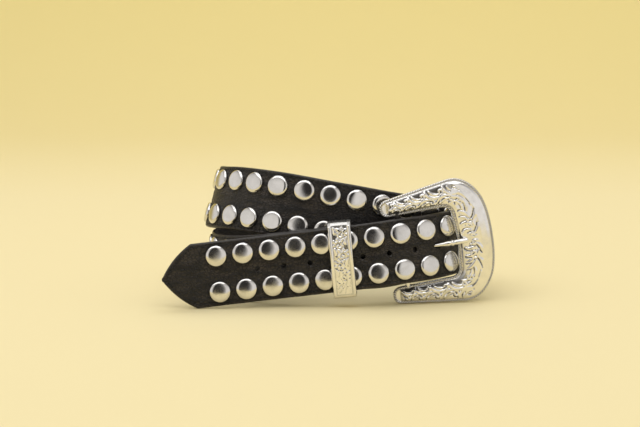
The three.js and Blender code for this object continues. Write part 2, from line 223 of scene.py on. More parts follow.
def traceStrap():
    turns = np.linspace(coilRows[0, 0], coilRows[-1, 0], coil["samples"] + 1)
    points = coilPoints(turns)
    leans = np.radians(coilValue(3, turns))
    lengths = lengthsAlong(points)
    reaches = (points - points[0]) @ unit(points[0] - points[2])
    i = np.flatnonzero(reaches > buckle["openingLength"])[-1]
    share = (reaches[i] - buckle["openingLength"]) / (reaches[i] - reaches[i + 1])
    atClosedEnd = lengths[i] + (lengths[i + 1] - lengths[i]) * share
    freeEnd = coil["closedEndToStuds"] + (studs["freeEndPairs"] - 1) * studs["pitch"] + studs["tipToFirst"]
    tail = tailPoints(points, atClosedEnd + freeEnd - lengths[-1])
    leans = np.concatenate([leans, np.full(len(tail), leans[-1])])
    return np.concatenate([points, tail]), leans


trackPoints, trackLeans = traceStrap()
trackLengths = lengthsAlong(trackPoints)
strapLength = trackLengths[-1]


# The strap's middle at some distances from the heel bar: point, along, out of the coil and up across it.
def placeAt(distances):
    distances = np.atleast_1d(np.asarray(distances, float))
    last = len(trackPoints) - 1
    i = np.clip(np.searchsorted(trackLengths, distances, side="right") - 1, 0, last - 1)
    share = ((distances - trackLengths[i]) / (trackLengths[i + 1] - trackLengths[i]))[:, None]
    point = trackPoints[i] * (1 - share) + trackPoints[i + 1] * share
    along = unit(trackPoints[np.minimum(i + 2, last)] - trackPoints[np.maximum(i - 1, 0)])
    level = unit(np.stack([-along[:, 1], along[:, 0], np.zeros(len(along))], axis=-1))
    upright = np.cross(along, level)
    lean = trackLeans[i][:, None] * (1 - share) + trackLeans[i + 1][:, None] * share
    up = upright * np.cos(lean) - level * np.sin(lean)
    out = level * np.cos(lean) + upright * np.sin(lean)
    return point, along, out, up


def spotAt(distance):
    return [part[0] for part in placeAt(distance)]


def studPlaces():
    places = []
    pair = 0
    while True:
        distance = strapLength - studs["tipToFirst"] - pair * studs["pitch"]
        if distance < studs["barToLast"]:
            return places
        first, last = studs["upperLapPairs"]
        group = "free" if pair < studs["freeEndPairs"] else "upper" if first <= pair <= last else "covered"
        places.append((pair, distance, group))
        pair += 1


# Where the coil's centre lies in the row frame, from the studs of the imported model.
def coilShift():
    rows, values = [], []
    for pair, distance, group in studPlaces():
        if group == "covered":
            continue
        point, along, _, up = spotAt(distance)
        for row, name in ((1, "upper"), (-1, "lower")):
            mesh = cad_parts[f"stud_{pair + 1:02d}_{name}"].data
            middle = np.mean([vertex.co for vertex in mesh.vertices], axis=0) / mm
            offset = middle - point - up * row * studs["rowSpacing"] / 2
            for axis in (along, up):
                rows.append(axis[:2])
                values.append(offset @ axis)
    shift = np.linalg.lstsq(np.array(rows), np.array(values), rcond=None)[0]
    return np.array([shift[0], shift[1], 0])


shift = coilShift()
trackPoints = trackPoints + shift
heelPoint, heelAlong, heelOut, heelUp = spotAt(0)
foldRadius = buckle["barRadius"] + strap["clearance"] + strap["thick"] / 2
barCentre = heelPoint - heelOut * foldRadius
print("course: strap", round(strapLength, 2), "mm, coil centre at", np.round(shift, 3))


# Mesh helpers. Points come in millimetres in the row frame and go in as metres.
def makeMesh(name, points, faces, materials, faceSlots=None, uv=None, masks=None):
    mesh = bpy.data.meshes.new(name)
    mesh.from_pydata((np.asarray(points) * mm).tolist(), [], [list(map(int, face)) for face in faces])
    for material in materials:
        mesh.materials.append(material)
    if faceSlots is not None:
        mesh.polygons.foreach_set("material_index", np.asarray(faceSlots, np.int32))
    mesh.polygons.foreach_set("use_smooth", np.ones(len(faces), bool))
    if uv is not None:
        corners = np.empty(len(mesh.loops), np.int32)
        mesh.loops.foreach_get("vertex_index", corners)
        layer = mesh.uv_layers.new(name="strapMap")
        layer.data.foreach_set("uv", (np.asarray(uv)[corners] * mm).astype(np.float32).ravel())
    for label, values in (masks or {}).items():
        mesh.attributes.new(label, "FLOAT", "POINT").data.foreach_set("value", np.asarray(values, np.float32))
    mesh.validate()
    mesh.update()
    piece = bpy.data.objects.new(name, mesh)
    bpy.context.scene.collection.objects.link(piece)
    return piece


# A closed mesh whose faces all look out of it.
def closedMesh(name, points, faces, material, masks=None):
    piece = makeMesh(name, points, faces, [material], masks=masks)
    body = bmesh.new()
    body.from_mesh(piece.data)
    bmesh.ops.recalc_face_normals(body, faces=body.faces)
    body.to_mesh(piece.data)
    body.free()
    return piece


def gridFaces(rows, columns, wrapRows=False, wrapColumns=False):
    i, j = np.meshgrid(
        np.arange(rows if wrapRows else rows - 1),
        np.arange(columns if wrapColumns else columns - 1),
        indexing="ij",
    )
    a = (i * columns + j).ravel()
    b = (i * columns + (j + 1) % columns).ravel()
    c = ((i + 1) % rows * columns + (j + 1) % columns).ravel()
    d = ((i + 1) % rows * columns + j).ravel()
    return np.stack([a, b, c, d], axis=-1)


# Several closed shells as one list of points and faces.
class Shells:
    def __init__(self):
        self.points = []
        self.faces = []
        self.count = 0

    def add(self, points, faces):
        self.points.append(np.asarray(points, float))
        self.faces.extend([[int(k) + self.count for k in face] for face in faces])
        self.count += len(points)

    def allPoints(self):
        return np.concatenate(self.points)


# Faces of some rings of points, closed at each end round a middle point that follows the rings.
def cappedRings(rings, sides):
    faces = gridFaces(rings, sides, wrapColumns=True).tolist()
    start, lastRing = rings * sides, (rings - 1) * sides
    for k in range(sides):
        faces.append([start, (k + 1) % sides, k])
        faces.append([start + 1, lastRing + k, lastRing + (k + 1) % sides])
    return faces


# A tube through some centres with a radius at each.
def tube(centres, radii, sides):
    centres = np.asarray(centres, float)
    heading = unit(np.gradient(centres, axis=0))
    side = unit(np.cross(heading, [0.123, 0.456, 0.881]))
    other = np.cross(heading, side)
    angles = np.linspace(0, 2 * math.pi, sides, endpoint=False)
    ring = side[:, None] * np.cos(angles)[:, None] + other[:, None] * np.sin(angles)[:, None]
    points = centres[:, None] + ring * np.asarray(radii, float)[:, None, None]
    points = np.concatenate([points.reshape(-1, 3), centres[:1], centres[-1:]])
    return points, cappedRings(len(centres), sides)


# A turned profile of radius and height, as rings about the height's axis, in a frame of along, out and up.
def turned(profile, sides, point, along, out, up):
    angles = np.linspace(0, 2 * math.pi, sides, endpoint=False)
    ring = along * np.cos(angles)[:, None] + up * np.sin(angles)[:, None]
    rows = [point + ring * radius + out * height for radius, height in profile[:-1]]
    points = np.concatenate(rows + [[point + out * profile[0][1]], [point + out * profile[-1][1]]])
    return points, cappedRings(len(rows), sides)


# Shader helpers.
def feed(tree, node, inputs):
    for key, value in inputs.items():
        if isinstance(value, bpy.types.NodeSocket):
            tree.links.new(value, node.inputs[key])
        else:
            node.inputs[key].default_value = value


def nodeOf(tree, kind, inputs=None, **settings):
    node = tree.nodes.new(kind)
    for key, value in settings.items():
        setattr(node, key, value)
    feed(tree, node, inputs or {})
    return node


def shade(tree, operation, first, second, clamp=False):
    return nodeOf(
        tree, "ShaderNodeMath", {0: first, 1: second}, operation=operation, use_clamp=clamp
    ).outputs[0]


def noiseOf(tree, place, scale, detail):
    return nodeOf(tree, "ShaderNodeTexNoise", {"Vector": place, "Scale": scale, "Detail": detail}).outputs


def mixColour(tree, factor, first, second):
    return nodeOf(tree, "ShaderNodeMix", {0: factor, 6: first, 7: second}, data_type="RGBA").outputs[2]


def shadeRange(tree, value, low, high, toLow=0.0, toHigh=1.0):
    return nodeOf(tree, "ShaderNodeMapRange", {0: value, 1: low, 2: high, 3: toLow, 4: toHigh}).outputs[0]


def newGroup(name, inputs, outputs):
    group = bpy.data.node_groups.new(name, "ShaderNodeTree")
    for label, kind, value in inputs:
        socket = group.interface.new_socket(label, in_out="INPUT", socket_type=kind)
        if value is not None:
            socket.default_value = value
    for label, kind in outputs:
        group.interface.new_socket(label, in_out="OUTPUT", socket_type=kind)
    return group, group.nodes.new("NodeGroupInput"), group.nodes.new("NodeGroupOutput")


floatSocket, vectorSocket = "NodeSocketFloat", "NodeSocketVector"


# Strap: rings of one section, from the tab behind the fold, round the heel bar,
# twice round the coil and to the tip.
section = {
    "outerEdge": [  # inset from the edge and reach out of the strap's middle
        (0, 0.3), (0.08, 0.7), (0.3, 1.1), (0.7, 1.38), (1.2, 1.48), (1.7, 1.46),
        (1.9, 1.3), (2.1, 1.22), (2.3, 1.3), (2.5, 1.46), (2.9, 1.5),
    ],
    "innerEdge": [(0, -0.3), (0.08, -0.7), (0.3, -1.1), (0.8, -1.4), (1.9, -1.44), (2.1, -1.36), (2.9, -1.5)],
    "outerColumns": 27,
    "innerColumns": 9,
    "edgeInset": 0.75,  # the painted cut edge reaches this far in
}


# The tip's sides are arcs: their angles at the shoulder and the point, radius and length.
def tipArc():
    shoulder, point = math.radians(strap["tipShoulder"]), math.radians(strap["tipPoint"])
    radius = strap["width"] / 2 / (math.cos(shoulder) - math.cos(point))
    return shoulder, point, radius, radius * (math.sin(point) - math.sin(shoulder))


# Half the tip's width at some distances from the point, and how much its sides slant there.
def tipHalf(fromPoint):
    shoulder, point, radius, length = tipArc()
    angle = np.arcsin(np.clip(math.sin(point) - fromPoint / radius, math.sin(shoulder), 1))
    half = radius * (np.cos(angle) - math.cos(point))
    blunt = np.sqrt(np.clip(fromPoint * (2 * strap["tipRound"] - fromPoint), 0, None))
    nearPoint = fromPoint < strap["tipRound"]
    half = np.where(nearPoint, np.maximum(blunt, half), np.maximum(half, strap["tipRound"]))
    slant = np.where(fromPoint < length, 1 / np.cos(angle), 1)
    return np.maximum(half, 0.02), slant


# The section's columns, once round: side, inset or share of the core, reach, and whether it lies on the core.
def sectionColumns():
    columns = []
    for side, edge, count in ((1, "outerEdge", "outerColumns"), (-1, "innerEdge", "innerColumns")):
        profile = section[edge]
        columns += [(side, inset, reach, False) for inset, reach in profile]
        columns += [
            (1, share, profile[-1][1], True) for share in np.linspace(side, -side, section[count])[1:-1]
        ]
        columns += [(-side, inset, reach, False) for inset, reach in reversed(profile)]
    return columns, section["outerEdge"][-1][0]


# The strap's middle line with its two directions and the distance run, through the tab, the fold and the laps.
def strapFrames():
    tab = np.arange(strap["foldTab"], 0, -strap["ringStep"])
    point, _, out, up = placeAt(tab)
    closing = smooth(tab, 0, strap["foldTaper"])
    apart = 2 * foldRadius * (1 - closing) + (strap["thick"] + strap["clearance"]) * closing
    skive = smooth(strap["foldTab"] - tab, -2, 6)[:, None]  # the tab thins out towards its end
    behind = apart[:, None] + strap["thick"] / 2 * (1 - skive)
    parts = [(point - out * behind, -out * (0.45 + 0.55 * skive), up, -math.pi * foldRadius - tab)]
    angles = np.linspace(math.pi, 0, 19)[:-1]
    reach = heelOut * np.cos(angles)[:, None] - heelAlong * np.sin(angles)[:, None]
    parts.append(
        (barCentre + reach * foldRadius, reach, np.tile(heelUp, (len(angles), 1)), -foldRadius * angles)
    )
    tip = tipArc()[-1]
    main = np.linspace(0, strapLength - tip, int((strapLength - tip) / strap["ringStep"]))
    fromPoint = tip * np.linspace(1, 0, 44)[1:] ** 1.6
    distances = np.concatenate([main, strapLength - fromPoint])
    point, _, out, up = placeAt(distances)
    parts.append((point, out, up, distances))
    return [np.concatenate(part) for part in zip(*parts)]


# How the studs, the holes and handling dent the strap's outer face.
def strapRelief(run, rise):
    first = strapLength - studs["tipToFirst"]
    beside = (first - run + studs["pitch"] / 2) % studs["pitch"] - studs["pitch"] / 2
    within = (run > studs["barToLast"] - studs["pitch"] / 2) & (run < first + studs["pitch"] / 2)
    fromStud = np.hypot(beside, np.abs(rise) - studs["rowSpacing"] / 2)
    rim = studs["diameter"] / 2
    dent = (
        -0.16 * np.exp(-(((fromStud - rim) / 1.1) ** 2))
        + 0.1 * np.exp(-(((fromStud - rim - 2.2) / 1.2) ** 2))
    )
    relief = np.where(within, dent, 0)
    between = (first - run) % studs["pitch"] - studs["pitch"] / 2
    holes = (run < first - studs["pitch"]) & (run > first - (strap["holeCount"] + 1) * studs["pitch"])
    relief = relief - np.where(holes, 0.22 * np.exp(-((np.hypot(between, rise) / 2.4) ** 4)), 0)
    return relief + 0.05 * np.sin(run / 9.1 + rise / 6) * np.sin(run / 23 - rise / 11)


def buildStrap(materials):
    columns, deepest = sectionColumns()
    points, outs, ups, run = strapFrames()
    half, slant = tipHalf(strapLength - run)
    half = np.where(run > strapLength - tipArc()[-1], half, strap["width"] / 2)
    core = np.maximum(half - deepest * slant, half * 0.12)
    rises, reaches = [], []
    for side, value, reach, onCore in columns:
        rise = core * value if onCore else side * (core + (half - core) * (1 - value / deepest))
        rises.append(rise)
        reaches.append(np.full(len(run), reach))
    rises, reaches = np.stack(rises, axis=1), np.stack(reaches, axis=1)
    faceOut = smooth(reaches, 1.2, 1.45) * (run > 2)[:, None]
    reaches = reaches + faceOut * strapRelief(run[:, None], rises)
    grid = points[:, None] + ups[:, None] * rises[..., None] + outs[:, None] * reaches[..., None]
    grid[..., 2] = np.maximum(grid[..., 2], 0)
    rows, count = rises.shape
    faces = gridFaces(rows, count, wrapColumns=True).tolist()
    faces += [list(range(count))[::-1], [(rows - 1) * count + k for k in range(count)]]
    edge = section["edgeInset"]
    kinds = []
    for k in range(count):
        pair = (columns[k], columns[(k + 1) % count])
        onEdge = all(not core and inset <= edge + 0.1 for _, inset, _, core in pair)
        kinds.append(1 if onEdge else 2 if pair[0][2] < 0 else 0)
    slots = kinds * (rows - 1) + [1, 1]
    uv = np.stack([np.broadcast_to(run[:, None], rises.shape), rises], axis=-1).reshape(-1, 2)
    wear = np.exp(-((strap["width"] / 2 - np.abs(rises)) / 0.8) ** 2).ravel()
    piece = makeMesh("belt_strap", grid.reshape(-1, 3), faces, materials, slots, uv, {"wear": wear})
    for cutter in (holeCutter(materials[1]), prongCutter(materials[1])):
        cut = piece.modifiers.new("cut", "BOOLEAN")
        cut.object, cut.operation, cut.solver = cutter, "DIFFERENCE", "MANIFOLD"
        applyModifiers(piece)
        bpy.data.objects.remove(cutter)
    return piece


def applyModifiers(piece):
    bpy.context.view_layer.update()
    mesh = bpy.data.meshes.new_from_object(piece.evaluated_get(bpy.context.evaluated_depsgraph_get()))
    piece.modifiers.clear()
    piece.data = mesh


def holeCutter(material):
    shells = Shells()
    for i in range(1, strap["holeCount"] + 1):
        point, _, out, _ = spotAt(strapLength - studs["tipToFirst"] - (i + 0.5) * studs["pitch"])
        reach = np.linspace(-3, 3, 5)[:, None]
        shells.add(*tube(point + out * reach, [strap["holeDiameter"] / 2] * 5, 28))
    corners = np.array([(x, y, z) for x in (-1, 1) for y in (-1, 1) for z in (-1, 1)], float)
    corners *= [strap["foldSlotReach"], 2 * foldRadius, strap["foldSlotWidth"] / 2]
    box = barCentre + corners @ np.stack([heelAlong, heelOut, heelUp])
    faces = [[0, 1, 3, 2], [4, 6, 7, 5], [0, 4, 5, 1], [2, 3, 7, 6], [0, 2, 6, 4], [1, 5, 7, 3]]
    shells.add(box, faces)
    return closedMesh("cutter_holes", shells.allPoints(), shells.faces, material)


# The buckle's own frame: x from the heel bar to the closed end, y along the bar, z out of the coil.
def fromBuckle(points):
    swing = math.radians(buckle["swing"])
    x, y, z = np.asarray(points, float).T
    turnedX = x * math.cos(swing) - z * math.sin(swing)
    turnedZ = x * math.sin(swing) + z * math.cos(swing)
    return barCentre - heelAlong * turnedX[:, None] + heelUp * y[:, None] + heelOut * turnedZ[:, None]


prong = {
    "radius": 1.25,
    "length": 38.4,
    "eyeWidth": 4.0,
    "eyeWall": 1.3,
    "eyeSides": 40,
    "frameThick": 5.6,
    "collarAt": 0.74,  # share of the length
    "collarHeight": 0.42,
    "collarGroove": 0.2,
    "stout": 1.32,  # how much thicker than the solid at the eye, and how much of that is lost to the tip
    "taper": 0.14,
    "slim": 0.62,  # thickness where it leaves the leather
}


def prongCourse(count):
    rest = prong["frameThick"] + buckle["back"] + strap["clearance"] + prong["radius"]
    eye = buckle["barRadius"] + strap["clearance"] + prong["eyeWall"] / 2
    length = buckle["openingLength"]
    knots = np.array([
        (eye, buckle["barRadius"]),
        (length * 0.45, rest * 0.55),
        (length * 0.85, rest * 0.97),
        (prong["length"], rest),
    ])
    at = np.concatenate([[0], np.cumsum(np.hypot(*np.diff(knots, axis=0).T))])
    along = np.linspace(0, at[-1], count)
    x, z = (np.polyval(np.polyfit(at, knots[:, k], 3), along) for k in (0, 1))
    return np.stack([x, np.zeros(count), z], axis=-1), along / at[-1]


def prongCutter(material):
    course, _ = prongCourse(24)
    points, faces = tube(course, [prong["radius"] + 0.35] * 24, 20)
    return closedMesh("cutter_prong", fromBuckle(points), faces, material)


# Thread: one short bead for each stitch, in both edges' grooves and on both faces.
def buildStitches(material):
    shells = Shells()
    fine = np.arange(6, strapLength, 0.25)
    half, slant = tipHalf(strapLength - fine)
    inTip = fine > strapLength - tipArc()[-1]
    half = np.where(inTip, half, strap["width"] / 2)
    rise = half - strap["stitchInset"] * np.where(inTip, slant, 1)
    fine, rise = fine[rise > 0.4], rise[rise > 0.4]
    point, _, out, up = placeAt(fine)
    for side in (1, -1):
        for face in (1.22, -1.34):
            line = point + up * (side * rise)[:, None] + out * face
            reached = lengthsAlong(line)
            for start in np.arange(1, reached[-1] - strap["stitchPitch"], strap["stitchPitch"]):
                share = np.linspace(0, strap["stitchLength"], 5)
                centres = np.stack([np.interp(start + share, reached, line[:, k]) for k in range(3)], axis=-1)
                bow = np.sin(np.linspace(0.12, 0.88, 5) * math.pi)
                normal = out[np.searchsorted(reached, start)] * math.copysign(0.16, face)
                shells.add(
                    *tube(centres + normal * bow[:, None], strap["threadRadius"] * (0.55 + 0.45 * bow), 6)
                )
    return makeMesh("strap_stitching", shells.allPoints(), shells.faces, [material])


# Studs: pressed domes, flatter in the middle, on a thin rolled rim.
def studProfile(rings):
    radius, height, crown = studs["diameter"] / 2, studs["height"], studs["crown"]
    profile = [(radius - 0.4, -0.6), (radius - 0.08, -0.5), (radius, -0.1), (radius, 0.35)]
    for share in np.sin(np.linspace(math.pi / 2, 0, rings))[1:]:
        shoulder = math.sqrt(1 - share ** studs["shoulderPower"])
        profile.append((radius * share, 0.35 + crown * (1 - share**2) + (height - crown - 0.35) * shoulder))
    return profile


def buildStuds(name, wanted, sides, rings, material):
    chance = random.Random(31)
    shells = Shells()
    profile = studProfile(rings)
    for _, distance, group in studPlaces():
        point, along, out, up = spotAt(distance)
        for row in (1, -1):
            tips = [math.radians(chance.uniform(-studs["tilt"], studs["tilt"])) for _ in range(2)]
            tips[1] += math.radians(studs["faceUp"]) if group == "free" else 0
            if group != wanted:
                continue
            face = unit(out + along * tips[0] + up * tips[1])
            flatAlong = unit(along - face * (along @ face))
            seat = point + out * (strap["thick"] / 2 + studs["lift"]) + up * row * studs["rowSpacing"] / 2
            shells.add(*turned(profile, sides, seat, flatAlong, face, np.cross(flatAlong, face)))
    return closedMesh(name, shells.allPoints(), shells.faces, material)


# Relief ornament: western leaf scrolls, as strokes of points with a half width at each.
def scrollStroke(x, y, radius, start, turns, hand, width):
    share = np.linspace(0, 1, int(40 * turns * radius / 2) + 24)
    angle = math.radians(start) + hand * 2 * math.pi * turns * share
    reach = radius * (1 - 0.84 * share)
    return np.stack([x + reach * np.cos(angle), y + reach * np.sin(angle), width * (1 - 0.35 * share)], axis=-1)


def leafStroke(x, y, heading, length, bend, width):
    share = np.linspace(0, 1, int(length * 6) + 6)
    angle = math.radians(heading) + math.radians(bend) * share
    step = length / len(share)
    across = width * np.sin(math.pi * (0.1 + 0.88 * share)) ** 0.8
    return np.stack([x + np.cumsum(np.cos(angle)) * step, y + np.cumsum(np.sin(angle)) * step, across], axis=-1)


def arcStroke(x, y, radius, start, end, width):
    share = np.linspace(0, 1, 60)
    angle = np.radians(start + (end - start) * share)
    across = width * np.sin(math.pi * (0.08 + 0.88 * share)) ** 0.7
    return np.stack([x + radius * np.cos(angle), y + radius * np.sin(angle), across], axis=-1)


# Distances from each place to every sample, some places at a time to spare memory.
def gapsInParts(places, samples, share=900):
    for start in range(0, len(places), share):
        part = places[start:start + share]
        gaps = np.hypot(part[:, None, 0] - samples[None, :, 0], part[:, None, 1] - samples[None, :, 1])
        yield slice(start, start + share), gaps


# How high the strokes stand at each place, 0 to 1.
def ornamentAt(x, y, strokes):
    samples, nearest = np.concatenate(strokes), np.empty(len(x))
    for part, gaps in gapsInParts(np.stack([x, y], axis=-1), samples):
        nearest[part] = (gaps / samples[None, :, 2]).min(axis=1)
    return np.sqrt(np.clip(1 - nearest**2, 0, 1))


# The ornament with the deep cut that lies on one side of each stroke; the frame and keeper also paint this cut
# dark as a cast shadow.
def carved(x, y, strokes, shiftX, shiftY):
    height = ornamentAt(x, y, strokes)
    beside = ornamentAt(x + shiftX, y + shiftY, strokes)
    return height, smooth(beside, 0.15, 0.6) * (1 - smooth(height, 0.0, 0.4))


ornament = {  # millimetres and degrees in the buckle's own frame
    "armStart": -5.5,
    "armEnd": 29,
    "armMargin": 1.5,  # plain strip on either side of the arms' leaves
    "armSpan": 5.4,  # the most that a leaf reaches from the arm's middle
    "cornerCentre": (33.5, 19.5),
    "cornerArcs": (  # radius, start, end, half width
        (4.4, 118, -8, 0.8),
        (7.2, 108, -22, 1.15),
        (10.2, 96, 2, 1.25),
        (12.6, 84, 30, 0.9),
    ),
    "leaves": (  # x, y, heading, length, bend, half width
        (36, 17.4, -12, 8.4, -62, 1),
        (36, 13.6, 8, 7.2, -95, 0.85),
        (46, 19.6, -78, 8.8, -62, 1.15),
        (44.4, 13, -128, 7, 88, 0.9),
        (36.2, 9.4, 30, 8, -100, 1),
        (36.4, 4.4, 52, 6.4, -104, 0.85),
        (46.2, 8.6, -84, 7, -70, 1),
        (39.6, 3.2, 10, 5.6, -80, 0.8),
    ),
    "scrolls": (  # x, y, radius, start, turns, hand, half width
        (37.2, 22.6, 2.1, 200, 1.1, -1, 0.6),
        (41.4, 9.2, 2.6, 70, 1.15, 1, 0.65),
        (42.6, 2.9, 2.1, 320, 1.05, -1, 0.5),
    ),
}


# Leaves lean to and fro along the arms; arcs, leaves and scrolls fill the closed end; both halves are alike.
def buckleStrokes():
    inner = buckle["openingWidth"] / 2
    widen = (buckle["cornerWidth"] - buckle["armWidth"]) / buckle["openingLength"]
    strokes, at, hand = [], ornament["armStart"], 1
    while at < ornament["armEnd"]:
        half = (buckle["armWidth"] + widen * at) / 2
        middle, span = inner + half, min(half - ornament["armMargin"], ornament["armSpan"])
        low, high = middle - hand * span, middle + hand * 0.5 * span
        strokes.append(leafStroke(at, low, hand * 78, 2.5 * span, -hand * 112, 0.25 * span))
        low = middle - hand * span * 0.9
        strokes.append(leafStroke(at + 0.5 * span, low, hand * 66, 1.5 * span, -hand * 90, 0.19 * span))
        strokes.append(scrollStroke(at + 0.75 * span, high, 0.36 * span, -90 * hand, 0.9, hand, 0.15 * span))
        at, hand = at + 1.05 * span, -hand
    strokes += [arcStroke(*ornament["cornerCentre"], *arc) for arc in ornament["cornerArcs"]]
    strokes += [leafStroke(*leaf) for leaf in ornament["leaves"]]
    strokes += [scrollStroke(*scroll) for scroll in ornament["scrolls"]]
    return strokes + [stroke * [1, -1, 1] for stroke in strokes]


def bezier(start, *others):
    knots = [np.array(start, float)] + [np.array(knot, float) for knot in others]
    share = np.linspace(0, 1, 60)[1:, None]
    if len(knots) == 3:
        a, b, c = knots
        return a * (1 - share) ** 2 + 2 * b * share * (1 - share) + c * share**2
    a, b, c, d = knots
    return (
        a * (1 - share) ** 3
        + 3 * b * share * (1 - share) ** 2
        + 3 * c * share**2 * (1 - share)
        + d * share**3
    )


# The outline at even steps, and which of its points lie on the outer side.
def buckleOutline():
    inner = buckle["openingWidth"] / 2
    outer, corner = inner + buckle["armWidth"], inner + buckle["cornerWidth"]
    length, reach = buckle["openingLength"], buckle["armReach"]
    far = length + buckle["closedEndWidth"]
    flare = (corner - outer) / length
    tip = buckle["armWidth"] / 2
    start, shoulder = (tip - reach, inner), (far * 0.94, corner * 0.63)
    upper = [
        bezier(start, (-reach, inner), (-reach, inner + tip)),
        bezier((-reach, inner + tip), (-reach, outer - reach * flare), (tip - reach, outer - tip * flare)),
        bezier((tip - reach, outer - tip * flare), (10, outer + 10 * flare), (length * 0.97, corner)),
        bezier((length * 0.97, corner), (far * 0.75, corner * 1.03), (far * 0.87, corner * 0.86), shoulder),
        bezier(shoulder, (far * 0.985, corner * 0.46), (far, corner * 0.24), (far, 0)),
    ]
    outerSide = np.concatenate([[start]] + upper)
    outerSide = np.concatenate([outerSide, outerSide[-2::-1] * [1, -1]])
    innerSide = np.concatenate([
        bezier((tip - reach, inner), (0, inner), (length * 0.8, inner)),
        bezier((length * 0.8, inner), (length * 0.96, inner), (length * 0.97, inner * 0.7)),
        bezier((length * 0.97, inner * 0.7), (length, inner * 0.2), (length, 0)),
    ])
    innerSide = np.concatenate([innerSide, innerSide[-2::-1] * [1, -1]])[::-1]
    loop = np.concatenate([outerSide, innerSide, outerSide[:1]])
    at = lengthsAlong(loop)
    even = np.linspace(0, at[-1], int(at[-1] / buckle["outlineStep"]), endpoint=False)
    points = np.stack([np.interp(even, at, loop[:, k]) for k in (0, 1)], axis=-1)
    return points, even < at[len(outerSide) - 1]


# Distance to the outline, to its outer side, and how far along it the nearest point is.
def outlineDistances(places, outline, isOuter):
    toAny, toOuter, nearest = (np.empty(len(places)) for _ in range(3))
    for part, gaps in gapsInParts(places, outline):
        toAny[part], toOuter[part], nearest[part] = (
            gaps.min(axis=1),
            gaps[:, isOuter].min(axis=1),
            gaps.argmin(axis=1),
        )
    return toAny, toOuter, nearest


# How high the rope edge stands, and the painted shade in the cuts between its strands.
def ropeRidge(inset, along):
    across = (inset - buckle["ropeAt"]) / buckle["ropeHalf"]
    bump = np.sqrt(np.clip(1 - across**2, 0, 1))
    twist = 0.5 + 0.5 * np.cos(2 * math.pi * along / buckle["ropePitch"] + 2.2 * across)
    return bump * twist, bump * smooth(twist, 0.75, 0.3)


# A line along the outline, as a share of its full height.
def lineAt(inset, at, width):
    return np.exp(-(((inset - at) / width) ** 2))


# The front of the frame: its height and its painted shade, dark in the one-sided cuts, the grooves and the
# arms' ground.
def buckleFace(places, outline, isOuter):
    x, y = places.T
    toAny, toOuter, nearest = outlineDistances(places, outline, isOuter)
    inset = np.minimum(toAny, x + buckle["armReach"] - buckle["tipFlange"])
    share = np.clip((inset - buckle["flange"]) / buckle["domeRun"], 0, 1)
    z = buckle["flangeTop"] + (buckle["domeTop"] - buckle["flangeTop"]) * np.sqrt(1 - (1 - share) ** 2)
    z -= 0.5 * np.clip(1 - toAny / buckle["edgeWidth"], 0, 1) ** 2
    rope, ropeShade = ropeRidge(toAny, nearest * buckle["outlineStep"])
    z += buckle["ropeHeight"] * rope + buckle["beadHeight"] * lineAt(inset, buckle["beadAt"], 0.25)
    z += 0.25 * smooth(toAny, 4, 9) - 0.0007 * share * y**2  # a last rise to the middle, and a slight crown
    plainBand = 1.8 + 6 * smooth(x, 31, 43)
    field = smooth(inset, 1.9, 2.2) * smooth(toOuter, plainBand, plainBand + 0.5) * smooth(x, -5.5, -3.5)
    leaf, cut = carved(x, y, buckleStrokes(), 0.5, -0.45 * np.sign(y))
    relief = buckle["reliefHeight"] - buckle["reliefFade"] * smooth(x, 29, 36)
    z += field * (relief * leaf - buckle["cutDepth"] * cut - buckle["groundDepth"])
    armMiddle = (buckle["openingWidth"] + buckle["armWidth"]) / 2
    upperSide = smooth(y - np.sign(y) * armMiddle, -2, 1) * (1 - smooth(x, 28, 38))
    # Painted shade: the ground between the leaves on the arms' outer halves is painted dark.
    ground = 0.95 * upperSide * (1 - smooth(leaf, 0.05, 0.45))  # the ground between leaves is dark on the arms
    # Painted shade in the groove beside the rope edge and in the notches between the rope's strands.
    groove = 0.25 * lineAt(toAny, buckle["grooveAt"], 0.22) + 0.85 * ropeShade
    return z, np.clip(field * np.maximum(cut, ground) + groove, 0, 1), toAny


# Points of the frame's face: the outline, rings beside it and an even field inside.
def buckleMeshPoints(outline, isOuter):
    step = buckle["meshStep"]
    low, high = outline.min(axis=0), outline.max(axis=0)
    field = []
    for k, row in enumerate(np.arange(low[1], high[1], step * 0.866)):
        across = np.arange(low[0] + (k % 2) * step / 2, high[0], step)
        field.append(np.stack([across, np.full(len(across), row)], axis=-1))
    field = np.concatenate(field)
    field = field[outlineDistances(field, outline, isOuter)[0] > buckle["meshRings"][-1] + 0.15]
    normal = np.roll(outline, -1, axis=0) - np.roll(outline, 1, axis=0)
    normal = unit(np.stack([-normal[:, 1], normal[:, 0]], axis=-1))
    rings = []
    for inset in buckle["meshRings"]:
        for side in (1, -1):
            ring = outline + normal * inset * side
            rings.append(ring[outlineDistances(ring, outline, isOuter)[0] > inset - 0.06])
    return [Vector(place) for place in np.concatenate([outline] + rings + [field])]


